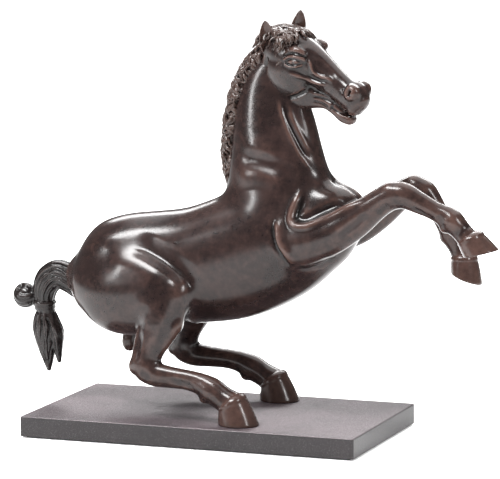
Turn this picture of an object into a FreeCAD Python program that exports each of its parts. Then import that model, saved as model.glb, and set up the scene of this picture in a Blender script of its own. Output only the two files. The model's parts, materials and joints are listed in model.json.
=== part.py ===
"""Rearing bronze horse on a rectangular plinth, built as the sections it is cast and assembled from.

Millimetres, +Z up. The origin is the centre of the underside of the baize that the plinth stands on.
The horse faces +X, so its right side is at -Y. It stands on its two hind hooves, which are studded
and bolted through the plinth, with its forelegs raised and its head turned a little to its right.

The figure's own stations are drawn for a figure 231 mm tall above the plinth and scaled to
FIGURE_HEIGHT. Plinth, fastenings, dowels and wall are real sizes that do not follow that scale.
"""
import math
import os

import FreeCAD
import Part
from FreeCAD import Vector

# ---- driving dimensions ------------------------------------------------------------------------
FIGURE_HEIGHT = 231.0        # plinth top to the tip of the left ear
STANCE_WIDTH = 80.0          # between the centres of the two hind hooves
PLINTH_LENGTH = 200.0
PLINTH_WIDTH = 115.0
PLINTH_THICKNESS = 11.5
PLINTH_EDGE_RADIUS = 0.9
PLINTH_CORNER_RADIUS = 1.2
BAIZE_THICKNESS = 1.0
BAIZE_INSET = 3.0
CASTING_WALL = 4.5           # bronze left round the core of the body
STUD_DIAMETER = 4.0
STUD_GRIP_IN_HOOF = 9.0
STUD_PAST_NUT = 1.0
NUT_ACROSS_FLATS = 7.0
NUT_THICKNESS = 3.2
WASHER_DIAMETER = 9.0
WASHER_THICKNESS = 0.8
COUNTERBORE_CLEARANCE = 1.0
COUNTERBORE_DEPTH = 6.0
LIMB_DOWEL_DIAMETER = 5.0
LIMB_DOWEL_LENGTH = 18.0
TAIL_DOWEL_DIAMETER = 4.0
TAIL_DOWEL_LENGTH = 12.0
HEAD_DOWEL_DIAMETER = 6.0
HEAD_DOWEL_LENGTH = 20.0
SLEEVE_LENGTH = 14.0
SLEEVE_WALL = 2.5
CORE_PLUG_DIAMETER = 4.0
BRAZE_GAP = 0.05             # clearance between a dowel, stud or plug and its hole

DRAWN_HEIGHT = 231.0         # the height that the stations below are drawn for
DRAWN_HIP = 28.0             # limbs drawn further out than this spread with the stance
DRAWN_HOOF = 40.0            # the hind hooves' own distance from the middle plane
RING_POINTS = 16             # points that a closed section is drawn through

SCALE = FIGURE_HEIGHT / DRAWN_HEIGHT
PLINTH_TOP = BAIZE_THICKNESS + PLINTH_THICKNESS
SIDEWAYS = Vector(0, 1, 0)
OUT = "parts"

# ---- stations of the figure: x, y, height over the plinth, half depth, half width --------------
TRUNK = [
    (-86.5, 0, 72, 10, 11),
    (-80, 0, 72.5, 22, 20),
    (-69, 0, 75, 29.5, 26),
    (-53, 0, 78.5, 32.5, 28.5),
    (-35, 0, 82, 31.5, 28.5),
    (-14, 0, 85.5, 32.5, 29),
    (9, 0, 91, 34.5, 29),
    (31, 0, 98.5, 35, 28),
    (50, 0, 106, 31.5, 26),
    (66, 0, 112, 25, 22),
    (77, 0, 116, 17, 16),
]
TRUNK_REAR_TIP = (-88.5, 0, 72)
TRUNK_FRONT_TIP = (84, 0, 119)
THIGH = [
    (-76, -13, 70, 17, 11),
    (-60, -18, 68.5, 25, 15),
    (-42, -22, 69, 26.5, 15),
    (-25, -26, 70, 19.5, 12),
    (-13, -28.5, 68.5, 11, 8.5),
]
THIGH_REAR_TIP = (-84, -10, 71)
THIGH_FRONT_TIP = (-6, -29.5, 67.5)
HIND_LEG = [
    (-20, -28, 69, 9, 6.5),
    (-22.5, -31, 55, 12, 8.5),
    (-26, -32.5, 46, 9.7, 7.5),
    (-29.5, -34, 36.5, 7.5, 6.5),
    (-32, -35, 28, 10, 6.5),
    (-21, -36, 24.5, 6.8, 5.8),
    (-6, -37.3, 23.3, 5.7, 5),
    (3, -38.2, 21.7, 6.4, 5.5),
    (10, -39, 18.8, 7.4, 6.6),
    (16.5, -39.6, 14.6, 6.8, 6.8),
]
HIND_CORONET = (22.3, -40, 13.2, 10.3, 9.6)
HIND_CORONET_LEAN = 31.0     # degrees that the coronet's front stands above its heel
HIND_SOLE = (26.5, -40, 0, 12.6, 11.4)
LEFT_HIND_SHIFT = -3.5       # the left hind leg stands this much further back
FORELEG_RIGHT = [
    (36, -17, 97.5, 11, 8),
    (52, -20.5, 99.5, 12.5, 9.5),
    (65, -21.5, 102.8, 12.2, 9),
    (78, -22, 109, 11, 8.2),
    (90, -22.3, 117, 9.7, 7.3),
    (100, -22.5, 125, 8.2, 6.8),
    (109, -22.5, 130.7, 7.9, 7.2),
    (117, -22.5, 132, 7.6, 7.3),
    (126, -22.5, 128.3, 6.6, 6),
    (136, -22.5, 123.8, 5.7, 5.3),
    (145, -22.5, 119, 7.2, 6.4),
    (151, -22.5, 112.8, 5.8, 5.6),
]
RIGHT_FORE_CORONET = (155, -22.5, 109.5, 9, 8.2)
RIGHT_FORE_CORONET_LEAN = 26.6
RIGHT_FORE_SOLE = (161.7, -22.5, 101, 10.6, 9.6)
RIGHT_FORE_SOLE_LEAN = 13.7
FORELEG_LEFT = [
    (36, 17, 97.5, 11, 8),
    (52, 20.5, 99.5, 12.5, 9.5),
    (65, 21.5, 102.5, 12.2, 9),
    (78, 22, 108.5, 11, 8.2),
    (90, 22.3, 117, 9.7, 7.3),
    (100, 22.5, 124.8, 8.2, 6.8),
    (108.5, 22.5, 129.7, 7.9, 7.2),
    (115.5, 22.5, 129, 7.6, 7.3),
    (121, 22.5, 122, 6.6, 6),
    (127, 22.5, 113.5, 5.7, 5.3),
    (132.5, 22.5, 105, 7, 6.4),
    (136, 22.5, 97.5, 5.8, 5.6),
]
LEFT_FORE_CORONET = (139, 22.5, 92.5, 8.7, 8.2)
LEFT_FORE_CORONET_LEAN = 5.0
LEFT_FORE_SOLE = (140.5, 22.5, 80, 10.2, 9.6)
LEFT_FORE_SOLE_LEAN = -20.0
NECK = [
    (40, 0, 112, 32, 23),
    (37, 0, 138, 31.5, 20.5),
    (35.3, 0, 149, 29.3, 18.5),
    (34, 0, 162, 27, 16.5),
    (32.5, 0, 177, 24, 15),
    (34, 0, 189, 21.5, 13.5),
    (38, 0, 197, 20.5, 12.5),
    (42.5, 0, 205, 15.5, 10.5),
]
HIND_JOINT = 3               # the station of the joint between body and leg casting
FORE_JOINT = 3
NECK_JOINT = 1
CORE_TRUNK = (1, 8)          # the core runs between these stations of the trunk
CORE_NECK = (0, 4)           # and these of the neck
GROIN_FORM = [
    (-52.5, 0, 50, 5, 6),
    (-54, 0, 43, 6, 8),
    (-54.5, 0, 36, 7, 9),
    (-54.5, 0, 30.5, 5, 6.5),
]
GROIN_TIP = (-54.5, 0, 27.5)
MANE = [
    (9.5, 0, 126, 3, 2.5),
    (9, 0, 140, 5.5, 4.5),
    (9, 0, 154, 6.5, 5.5),
    (10.5, 0, 168, 6.5, 5.5),
    (13, 0, 180, 6.5, 5.5),
    (17.5, 0, 191, 6.5, 5.5),
    (24, 0, 203, 6.5, 5.5),
    (30.5, 0, 212.5, 6, 5.5),
    (35, 0, 218.5, 4, 4),
]
TAIL_ARCH = [
    (-84, 0, 66, 6.8, 7.5),
    (-90, 0, 68.5, 7.2, 7.5),
    (-98, 0, 73.5, 7.6, 7.5),
    (-105, 0, 75, 7.4, 7),
    (-110.5, 0, 71, 6.6, 6.5),
    (-111.5, 0, 63, 5.6, 6),
    (-109.5, 0, 55, 5.2, 5.5),
]
TAIL_TASSEL = [
    (-109.5, 0, 56, 4.6, 5),
    (-108, 0, 50, 7, 6.5),
    (-107.5, 0, 43, 8.8, 7.5),
    (-107.5, 0, 34, 7.4, 6.5),
    (-107.5, 0, 24, 4.6, 4.5),
    (-107.3, 0, 18, 2.3, 2.5),
]
TAIL_LOCK = [
    (-104, 0, 46, 4.5, 5),
    (-100.5, 0, 38, 3.6, 4.5),
    (-100, 0, 29, 2.8, 3.5),
    (-99.7, 0, 22, 1.6, 2),
]
TAIL_BUN = (-121, 0, 60, 7.8)        # centre and radius of the looped end
TAIL_BUN_NECK_RADIUS = 4.0
TAIL_TIE = (-108.5, 0, 53.5, 5.2, 2.6)   # centre, ring radius, cord radius of the tie

# ---- the head's own frame: u from poll to muzzle, v to its left, w out of the forehead ---------
POLL = (34, 0, 221.5)
HEAD_YAW = 15.0
HEAD_PITCH = 31.0
HEAD_ROLL = 8.0
SKULL = [                    # u, w, half depth, half width
    (-5, -7, 6, 7),
    (3, -5.5, 11, 11.5),
    (14, -5, 14, 13.5),
    (27, -4.5, 13.5, 13),
    (39, -5, 11.5, 10.5),
    (50, -4.5, 9.5, 8.5),
    (58, -4, 8.7, 8),
    (65, -4.5, 10.3, 8.6),
    (71, -6.5, 8.8, 7.8),
]
SKULL_TIP = (75, -8)
JAW = [                      # u, w, half depth, half width
    (9, -14, 9, 9),
    (18, -17.5, 11.5, 11.5),
    (30, -18.5, 11.5, 11.5),
    (42, -16, 9, 8.5),
    (54, -15.5, 6, 6),
    (63, -16.5, 4.5, 5.5),
]
JAW_TIP = (68.5, -17)
EAR_SPACING = 12.0           # from the middle plane of the head to an ear's root
EAR_LENGTH = 18.5
EAR_HALF_WIDTH = 4.6
EAR_HALF_DEPTH = 2.8
EAR_ROOT_U = 7.0
EAR_ROOT_W = -1.5
CORE_PLUGS = [(-17, 99), (8, 106)]   # x and height of the core-pin plugs on each flank


# ---- helpers -----------------------------------------------------------------------------------
def place(x, y, height):
    """A drawn point of the figure as a point of the model."""
    share = max(0.0, (abs(y) - DRAWN_HIP) / (DRAWN_HOOF - DRAWN_HIP))
    spread = math.copysign((STANCE_WIDTH / 2 - DRAWN_HOOF * SCALE) * share, y)
    return Vector(x * SCALE, y * SCALE + spread, PLINTH_TOP + height * SCALE)


def unit(vector):
    """The same direction with length 1."""
    return vector * (1.0 / vector.Length)


def ring(centre, direction, half_depth, half_width, sideways=SIDEWAYS):
    """A closed oval wire square to a direction, its width lying as near to sideways as it can."""
    forward = unit(direction)
    side = unit(sideways - forward * sideways.dot(forward))
    up = forward.cross(side)
    points = []
    for step in range(RING_POINTS):
        angle = 2 * math.pi * step / RING_POINTS
        points.append(centre + up * (half_depth * math.cos(angle)) + side * (half_width * math.sin(angle)))
    curve = Part.BSplineCurve()
    curve.interpolate(Points=points, PeriodicFlag=True)
    return Part.Wire(curve.toShape())


def directions(centres):
    """The direction of the path at each of its points."""
    last = len(centres) - 1
    return [centres[min(i + 1, last)] - centres[max(i - 1, 0)] for i in range(last + 1)]


def rings(stations):
    """The section wires of a limb from its drawn stations."""
    centres = [place(*station[:3]) for station in stations]
    ways = directions(centres)
    return [
        ring(centre, way, station[3] * SCALE, station[4] * SCALE)
        for centre, way, station in zip(centres, ways, stations)
    ]


def loft(wires, start=None, end=None):
    """A smooth solid through section wires, closed to a point at an end that is given."""
    sections = list(wires)
    if start is not None:
        sections.insert(0, Part.Vertex(start))
    if end is not None:
        sections.append(Part.Vertex(end))
    return Part.makeLoft(sections, True, False)


def mirrored(stations, shift=0.0):
    """Stations of the right side moved to the left side, and shifted along the horse."""
    return [(s[0] + shift, -s[1], *s[2:]) for s in stations]


def rod(centre, direction, diameter, length):
    """A round rod centred on a point."""
    way = unit(direction)
    return Part.makeCylinder(diameter / 2, length, centre - way * (length / 2), way)


def fused(first, *others):
    """One body from several that cross each other."""
    return first.multiFuse(list(others)).removeSplitter()


def solid_of(shape):
    """The largest solid of a shape, without slivers."""
    return max(shape.Solids, key=lambda solid: solid.Volume)


def leaning(degrees, sign=1.0):
    """The downward axis of a hoof section whose front is tilted up by so many degrees."""
    angle = math.radians(degrees)
    return Vector(math.sin(angle) * sign, 0, -math.cos(angle))


def hoof(leg_stations, coronet, coronet_lean, sole, sole_lean):
    """A hoof from its coronet down to its sole, with its root inside the pastern."""
    pastern = leg_stations[-1]
    root = ring(place(*pastern[:3]), leaning(coronet_lean), pastern[3] * SCALE, pastern[4] * SCALE)
    top = ring(place(*coronet[:3]), leaning(coronet_lean), coronet[3] * SCALE, coronet[4] * SCALE)
    foot = ring(place(*sole[:3]), leaning(sole_lean), sole[3] * SCALE, sole[4] * SCALE)
    return fused(loft([top, foot]), loft([root, top]))


def export(name, shape):
    """Writes one sub-part, after a look that every one of its solids is sound."""
    if not shape.Solids or not shape.isValid():
        raise ValueError(f"{name} is not a sound solid")
    shape.exportStep(os.path.join(OUT, f"{name}.step"))
    print(f"{name}: {len(shape.Solids)} solid(s), {shape.Volume / 1000:.2f} cm3")


# ---- the head's frame --------------------------------------------------------------------------
def head_axes():
    """Unit vectors of the head along u, v and w."""
    yaw, pitch, roll = (math.radians(a) for a in (HEAD_YAW, HEAD_PITCH, HEAD_ROLL))
    u = Vector(math.cos(pitch) * math.cos(yaw), -math.cos(pitch) * math.sin(yaw), -math.sin(pitch))
    level = Vector(math.sin(yaw), math.cos(yaw), 0)
    upright = u.cross(level)
    v = level * math.cos(roll) + upright * math.sin(roll)
    return u, v, u.cross(v)


HEAD_U, HEAD_V, HEAD_W = head_axes()


def in_head(u, v, w):
    """A point given in the head's frame."""
    return place(*POLL) + (HEAD_U * u + HEAD_V * v + HEAD_W * w) * SCALE


def head_rings(stations):
    """Section wires across the head, square to its length."""
    return [
        ring(in_head(u, 0, w), HEAD_U, depth * SCALE, width * SCALE, HEAD_V)
        for u, w, depth, width in stations
    ]


def ear(side):
    """One pricked ear, a flattened cone with a rounded tip."""
    root = in_head(EAR_ROOT_U, side * EAR_SPACING * 0.8, EAR_ROOT_W - 3)
    way = unit(HEAD_W * 1.0 - HEAD_U * 0.35 + HEAD_V * (0.25 * side))
    wires = []
    for share, swell in ((0.0, 0.8), (0.35, 1.0), (0.65, 0.85), (0.9, 0.4)):
        centre = root + way * (EAR_LENGTH * SCALE * share)
        thick, wide = EAR_HALF_DEPTH * SCALE * swell, EAR_HALF_WIDTH * SCALE * swell
        wires.append(ring(centre, way, thick, wide, HEAD_V))
    return loft(wires, end=root + way * (EAR_LENGTH * SCALE))


# ---- castings, before they are fitted to each other --------------------------------------------
def trunk_blank():
    """Trunk and thighs with the stumps of the limbs, still solid."""
    trunk = loft(rings(TRUNK), place(*TRUNK_REAR_TIP), place(*TRUNK_FRONT_TIP))
    masses = []
    for side in (1, -1):
        def turned(stations):
            return stations if side == 1 else mirrored(stations)

        def tip(point):
            return place(point[0], point[1] * side, point[2])

        masses.append(loft(rings(turned(THIGH)), tip(THIGH_REAR_TIP), tip(THIGH_FRONT_TIP)))
    stumps = [
        loft(rings(HIND_LEG)[: HIND_JOINT + 1]),
        loft(rings(mirrored(HIND_LEG, LEFT_HIND_SHIFT))[: HIND_JOINT + 1]),
        loft(rings(FORELEG_RIGHT)[: FORE_JOINT + 1]),
        loft(rings(FORELEG_LEFT)[: FORE_JOINT + 1]),
        loft(rings(NECK)[: NECK_JOINT + 1]),
        loft(rings(GROIN_FORM), end=place(*GROIN_TIP)),
    ]
    return solid_of(fused(trunk, *masses, *stumps))


def thinned(stations, wall):
    """Stations with a real wall taken off all round."""
    return [(*s[:3], s[3] - wall / SCALE, s[4] - wall / SCALE) for s in stations]


def neck_core(wall):
    """The neck's part of the core, or the same shape a little smaller for the sleeve."""
    first, last = CORE_NECK
    return loft(rings(thinned(NECK[first: last + 1], wall)))


def body_core():
    """The one core that leaves body and neck hollow."""
    first, last = CORE_TRUNK
    return fused(loft(rings(thinned(TRUNK[first: last + 1], CASTING_WALL))), neck_core(CASTING_WALL))


def head_blank():
    """Skull, jaw and ears in one."""
    skull = loft(head_rings(SKULL), end=in_head(SKULL_TIP[0], 0, SKULL_TIP[1]))
    jaw = loft(head_rings(JAW), end=in_head(JAW_TIP[0], 0, JAW_TIP[1]))
    return solid_of(fused(skull, jaw, ear(1), ear(-1)))


def tail_blank():
    """The arched tail with its looped end, its tie and the two locks below the tie."""
    arch = loft(rings(TAIL_ARCH))
    tassel = loft(rings(TAIL_TASSEL))
    lock = loft(rings(TAIL_LOCK))
    bun_centre = place(*TAIL_BUN[:3])
    bun = Part.makeSphere(TAIL_BUN[3] * SCALE, bun_centre)
    tie_centre = place(*TAIL_TIE[:3])
    tie = Part.makeTorus(TAIL_TIE[3] * SCALE, TAIL_TIE[4] * SCALE, tie_centre)
    reach = place(*TAIL_ARCH[-2][:3]) - bun_centre
    neck = Part.makeCylinder(TAIL_BUN_NECK_RADIUS * SCALE, reach.Length, bun_centre, reach)
    return solid_of(fused(arch, tassel, lock, bun, tie, neck))


def leg_blank(stations, joint, coronet, coronet_lean, sole, sole_lean):
    """A leg from its joint down, with its hoof."""
    leg = loft(rings(stations)[joint:])
    return solid_of(fused(leg, hoof(stations, coronet, coronet_lean, sole, sole_lean)))


def dowel_at(stations, joint, diameter, length):
    """Centre, direction, and rod of the dowel through a limb's joint."""
    centres = [place(*station[:3]) for station in stations]
    return centres[joint], directions(centres)[joint], diameter, length


def dowel(spec, clearance=0.0):
    """The dowel itself, or its hole when a clearance is given."""
    centre, way, diameter, length = spec
    return rod(centre, way, diameter + 2 * clearance, length + 2 * clearance)


def plinth_blank():
    """The plinth with softened edges, before it is drilled."""
    block = Part.makeBox(
        PLINTH_LENGTH, PLINTH_WIDTH, PLINTH_THICKNESS,
        Vector(-PLINTH_LENGTH / 2, -PLINTH_WIDTH / 2, BAIZE_THICKNESS),
    )
    upright = [e for e in block.Edges if abs(e.tangentAt(e.FirstParameter).z) > 0.9]
    block = block.makeFillet(PLINTH_CORNER_RADIUS, upright)
    top = [e for e in block.Edges if all(abs(v.Point.z - PLINTH_TOP) < 1e-6 for v in e.Vertexes)]
    return block.makeFillet(PLINTH_EDGE_RADIUS, top)


def hexagon(across_flats, thickness, centre):
    """A hexagonal prism standing on a point."""
    radius = across_flats / math.sqrt(3)
    corners = [
        centre + Vector(radius * math.cos(math.radians(60 * n)), radius * math.sin(math.radians(60 * n)), 0)
        for n in range(6)
    ]
    return Part.Face(Part.makePolygon(corners + corners[:1])).extrude(Vector(0, 0, thickness))


def hoof_fastening(sole):
    """Stud, washer, nut and the holes that they need under one hind hoof."""
    x, y = place(*sole[:3]).x, place(*sole[:3]).y
    seat = BAIZE_THICKNESS + COUNTERBORE_DEPTH
    washer_low = seat - WASHER_THICKNESS
    nut_low = washer_low - NUT_THICKNESS
    stud_low = nut_low - STUD_PAST_NUT
    stud_high = PLINTH_TOP + STUD_GRIP_IN_HOOF
    up = Vector(0, 0, 1)

    def post(diameter, low, high):
        return Part.makeCylinder(diameter / 2, high - low, Vector(x, y, low), up)

    thread_hole = STUD_DIAMETER + 2 * BRAZE_GAP
    stud = post(STUD_DIAMETER, stud_low, stud_high)
    washer = post(WASHER_DIAMETER, washer_low, seat).cut(post(thread_hole, washer_low - 1, seat + 1))
    nut = hexagon(NUT_ACROSS_FLATS, NUT_THICKNESS, Vector(x, y, nut_low))
    nut = nut.cut(post(thread_hole, nut_low - 1, washer_low + 1))
    counterbore = post(WASHER_DIAMETER + 2 * COUNTERBORE_CLEARANCE, BAIZE_THICKNESS - 1, seat)
    hole = post(thread_hole, seat - 1, stud_high + BRAZE_GAP)
    return stud, washer, nut, counterbore.fuse(hole), hole


def build():
    """Fits the castings to each other, drills them and writes every node."""
    os.makedirs(OUT, exist_ok=True)
    left_hind = mirrored(HIND_LEG, LEFT_HIND_SHIFT)
    left_coronet, left_sole = mirrored([HIND_CORONET, HIND_SOLE], LEFT_HIND_SHIFT)

    trunk = trunk_blank()
    neck = loft(rings(NECK)[NECK_JOINT:])
    head = head_blank()
    tail = tail_blank()
    mane = loft(rings(MANE))
    legs = {
        "right_hind_leg": (HIND_LEG, HIND_JOINT, HIND_CORONET, HIND_CORONET_LEAN, HIND_SOLE, 0.0),
        "left_hind_leg": (left_hind, HIND_JOINT, left_coronet, HIND_CORONET_LEAN, left_sole, 0.0),
        "right_foreleg": (
            FORELEG_RIGHT, FORE_JOINT, RIGHT_FORE_CORONET, RIGHT_FORE_CORONET_LEAN,
            RIGHT_FORE_SOLE, RIGHT_FORE_SOLE_LEAN,
        ),
        "left_foreleg": (
            FORELEG_LEFT, FORE_JOINT, LEFT_FORE_CORONET, LEFT_FORE_CORONET_LEAN,
            LEFT_FORE_SOLE, LEFT_FORE_SOLE_LEAN,
        ),
    }

    # each casting gives way to the one it is fitted against
    neck = solid_of(neck.cut(trunk))
    head = solid_of(head.cut(neck))
    castings = {limb: leg_blank(*spec) for limb, spec in legs.items()}
    for limb in ("right_foreleg", "left_foreleg"):
        castings[limb] = solid_of(castings[limb].cut(trunk))
    tail = solid_of(tail.cut(trunk))
    mane = solid_of(mane.cut(trunk).cut(neck).cut(head))

    # the core that leaves the body hollow, and the sleeve that joins body and neck inside it
    core = body_core()
    outer_trunk = trunk
    trunk = solid_of(trunk.cut(core))
    neck = solid_of(neck.cut(core))
    joint = place(*NECK[NECK_JOINT][:3])
    slab = Part.makeBox(
        400 * SCALE, 200 * SCALE, SLEEVE_LENGTH,
        Vector(-200 * SCALE, -100 * SCALE, joint.z - SLEEVE_LENGTH / 2),
    )
    sleeve_skin = neck_core(CASTING_WALL + BRAZE_GAP)
    sleeve_hollow = neck_core(CASTING_WALL + BRAZE_GAP + SLEEVE_WALL)
    sleeve = solid_of(sleeve_skin.cut(sleeve_hollow).common(slab))

    # dowels, each half in one casting and half in the other
    for limb, (stations, joint, *_) in legs.items():
        spec = dowel_at(stations, joint, LIMB_DOWEL_DIAMETER, LIMB_DOWEL_LENGTH)
        trunk = trunk.cut(dowel(spec, BRAZE_GAP))
        castings[limb] = castings[limb].cut(dowel(spec, BRAZE_GAP))
        export(f"{limb}_dowel", dowel(spec))
    tail_spec = dowel_at(TAIL_ARCH, 1, TAIL_DOWEL_DIAMETER, TAIL_DOWEL_LENGTH)
    trunk = trunk.cut(dowel(tail_spec, BRAZE_GAP))
    tail = tail.cut(dowel(tail_spec, BRAZE_GAP))
    head_spec = dowel_at(NECK, -2, HEAD_DOWEL_DIAMETER, HEAD_DOWEL_LENGTH)
    neck = neck.cut(dowel(head_spec, BRAZE_GAP))
    head = head.cut(dowel(head_spec, BRAZE_GAP))

    # plugs that close the holes of the core pins
    plugs = []
    for side in (1, -1):
        for x, height in CORE_PLUGS:
            foot, out = place(x, 0, height), Vector(0, side, 0)
            bore = Part.makeCylinder(CORE_PLUG_DIAMETER / 2 + BRAZE_GAP, 60 * SCALE, foot, out)
            pin = Part.makeCylinder(CORE_PLUG_DIAMETER / 2, 60 * SCALE, foot, out)
            plugs.append(solid_of(pin.common(outer_trunk).cut(core)))
            trunk = trunk.cut(bore)

    # plinth and what holds the hooves to it
    plinth = plinth_blank()
    baize = Part.makeBox(
        PLINTH_LENGTH - 2 * BAIZE_INSET, PLINTH_WIDTH - 2 * BAIZE_INSET, BAIZE_THICKNESS,
        Vector(-PLINTH_LENGTH / 2 + BAIZE_INSET, -PLINTH_WIDTH / 2 + BAIZE_INSET, 0),
    )
    for side, sole, casting in (
        ("right", HIND_SOLE, "right_hind_leg"),
        ("left", left_sole, "left_hind_leg"),
    ):
        stud, washer, nut, plinth_hole, hoof_hole = hoof_fastening(sole)
        plinth = plinth.cut(plinth_hole)
        castings[casting] = castings[casting].cut(hoof_hole)
        export(f"{side}_hoof_stud", stud)
        export(f"{side}_stud_washer", washer)
        export(f"{side}_stud_nut", nut)

    export("plinth", plinth)
    export("baize_sheet", baize)
    export("body_casting", solid_of(trunk))
    export("neck_casting", solid_of(neck))
    export("head_casting", solid_of(head))
    export("mane_strip", mane)
    export("tail_casting", solid_of(tail))
    export("tail_dowel", dowel(tail_spec))
    export("head_dowel", dowel(head_spec))
    export("neck_joint_sleeve", sleeve)
    export("core_pin_plugs", Part.makeCompound(plugs))
    for limb, casting in castings.items():
        export(f"{limb}_casting", solid_of(casting))


build()
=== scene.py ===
"""Rearing bronze horse on its plinth: the chased and patinated surface, hair and studio.

Lengths here are millimetres of the figure (x towards the head, y to the horse's left, height over
the plinth) until `finished` turns them into the frame's own.
"""

import json
import math
import random

import bmesh
import bpy
import numpy as np
from mathutils import Matrix, Vector


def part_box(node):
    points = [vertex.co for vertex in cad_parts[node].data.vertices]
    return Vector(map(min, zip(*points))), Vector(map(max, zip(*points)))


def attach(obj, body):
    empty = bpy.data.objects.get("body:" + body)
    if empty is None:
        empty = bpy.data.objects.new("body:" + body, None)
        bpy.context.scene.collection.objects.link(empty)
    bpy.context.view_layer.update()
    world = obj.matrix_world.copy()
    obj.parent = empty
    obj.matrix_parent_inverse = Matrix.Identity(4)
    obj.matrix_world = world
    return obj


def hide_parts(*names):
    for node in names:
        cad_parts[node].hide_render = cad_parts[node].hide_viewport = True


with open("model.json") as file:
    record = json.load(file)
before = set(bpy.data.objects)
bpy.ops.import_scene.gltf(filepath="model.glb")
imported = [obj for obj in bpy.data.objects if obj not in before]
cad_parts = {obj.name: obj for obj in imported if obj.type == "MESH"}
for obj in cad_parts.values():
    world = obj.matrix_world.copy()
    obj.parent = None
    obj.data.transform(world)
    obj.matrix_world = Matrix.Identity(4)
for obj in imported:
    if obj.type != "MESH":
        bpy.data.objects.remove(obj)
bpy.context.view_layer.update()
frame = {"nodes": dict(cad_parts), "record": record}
ROOT = "root"
PLINTH_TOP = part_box("plinth")[1][2] * 1000.0
MM = 0.001
# spacing of the points of each modelled skin, in mm
FIGURE_GRAIN, HEAD_GRAIN, EAR_GRAIN, TAIL_GRAIN = 0.9, 0.45, 0.3, 0.42
# wear of the patina on the hooves and the filed plugs, from 0 in a hollow to 1 on a rubbed ridge
HOOF_WEAR, PLUG_WEAR, EAR_WEAR = 0.78, 0.45, 0.8

# ---- Small geometry helpers ----


def unit(vector):
    return vector / max(np.linalg.norm(vector), 1e-9)


def smooth_rows(rows, step):
    """Rows of station numbers run through a centripetal curve and sampled about every `step` mm."""
    rows = np.asarray(rows, float)
    padded = np.vstack([2 * rows[0] - rows[1], rows, 2 * rows[-1] - rows[-2]])
    out = []
    for i in range(1, len(padded) - 2):
        p0, p1, p2, p3 = padded[i - 1: i + 3]
        k = [max(np.linalg.norm((b - a)[:3]), 1e-3) ** 0.5 for a, b in ((p0, p1), (p1, p2), (p2, p3))]
        m1 = (p1 - p0) / k[0] - (p2 - p0) / (k[0] + k[1]) + (p2 - p1) / k[1]
        m2 = (p2 - p1) / k[1] - (p3 - p1) / (k[1] + k[2]) + (p3 - p2) / k[2]
        m1, m2 = m1 * k[1], m2 * k[1]
        count = max(1, int(round(np.linalg.norm((p2 - p1)[:3]) / step)))
        for n in range(count):
            t = n / count
            out.append(
                (2 * t**3 - 3 * t**2 + 1) * p1 + (t**3 - 2 * t**2 + t) * m1
                + (-2 * t**3 + 3 * t**2) * p2 + (t**3 - t**2) * m2
            )
    out.append(rows[-1])
    return np.array(out)


def add_ring(bm, centre, forward, side_hint, depth, width, segments, shape):
    """One closed section in a bmesh; returns its edges."""
    forward = unit(np.asarray(forward, float))
    side = unit(side_hint - forward * np.dot(side_hint, forward))
    up = np.cross(forward, side)
    made = bmesh.ops.create_circle(bm, segments=segments, radius=1.0)["verts"]
    if shape is not None:
        for vert in made:
            vert.co.x, vert.co.y = shape(vert.co.x, vert.co.y)
    place = Matrix((*zip(side * width, up * depth, forward, centre), (0, 0, 0, 1)))
    bmesh.ops.transform(bm, matrix=place, verts=made)
    return list({edge for vert in made for edge in vert.link_edges}), made


def skin_sections(bm, sections, segments, side_hint=(0, 1, 0), shape=None):
    """A closed skin through sections (centre, direction, half depth, half width)."""
    loops, rims = [], []
    for centre, way, depth, width in sections:
        edges, verts = add_ring(bm, centre, way, np.asarray(side_hint, float), depth, width, segments, shape)
        loops.append(edges)
        rims.append(verts)
    for first, second in zip(loops, loops[1:]):
        bmesh.ops.bridge_loops(bm, edges=first + second)
    for rim in (rims[0], rims[-1]):
        bmesh.ops.contextual_create(bm, geom=rim)


def skin(bm, rows, step=2.5, segments=28, side_hint=(0, 1, 0), shape=None):
    """A closed limb through stations (x, y, h, half depth, half width), rounded at its ends."""
    rows = smooth_rows(rows, step)
    centres = rows[:, :3]
    ways = np.gradient(centres, axis=0)
    sections = [(c, w, r[3], r[4]) for c, w, r in zip(centres, ways, rows)]
    for end in (0, -1):
        centre, way, depth, width = sections[end]
        outward = unit(way) * (-1 if end == 0 else 1)
        reach = min(depth, width) * 0.8
        caps = [
            (centre + outward * reach * math.sin(a), way, depth * math.cos(a), width * math.cos(a))
            for a in (math.radians(25), math.radians(50), math.radians(70), math.radians(84))
        ]
        sections = (caps[::-1] + sections) if end == 0 else (sections + caps)
    skin_sections(bm, sections, segments, side_hint, shape)


def lump(bm, centre, radii, turn=(0, 0, 0)):
    """An egg-shaped mass; `turn` is in degrees about x, y and z."""
    made = bmesh.ops.create_icosphere(bm, subdivisions=3, radius=1.0)["verts"]
    spin = Matrix.Rotation(math.radians(turn[2]), 4, "Z") @ Matrix.Rotation(math.radians(turn[1]), 4, "Y") \
        @ Matrix.Rotation(math.radians(turn[0]), 4, "X")
    place = Matrix.Translation(Vector(centre)) @ spin @ Matrix.Diagonal((*radii, 1.0))
    bmesh.ops.transform(bm, matrix=place, verts=made)


def both_sides(bm, centre, radii, turn=(0, 0, 0)):
    """The same mass on both sides of the horse."""
    for side in (-1, 1):
        mirrored = (-side * turn[0], turn[1], -side * turn[2])
        lump(bm, (centre[0], side * abs(centre[1]), centre[2]), radii, mirrored)


def placed(name, data):
    """An object in the scene that shows the data given."""
    made = bpy.data.objects.new(name, data)
    bpy.context.collection.objects.link(made)
    return made


def meshed(name, bm):
    """A bmesh as a mesh object, just as it is."""
    mesh = bpy.data.meshes.new(name)
    bm.to_mesh(mesh)
    bm.free()
    return placed(name, mesh)


def new_object(name, bm):
    """A mesh object that faces outward, its points still figure millimetres."""
    bmesh.ops.recalc_face_normals(bm, faces=bm.faces)
    return meshed(name, bm)


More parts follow.
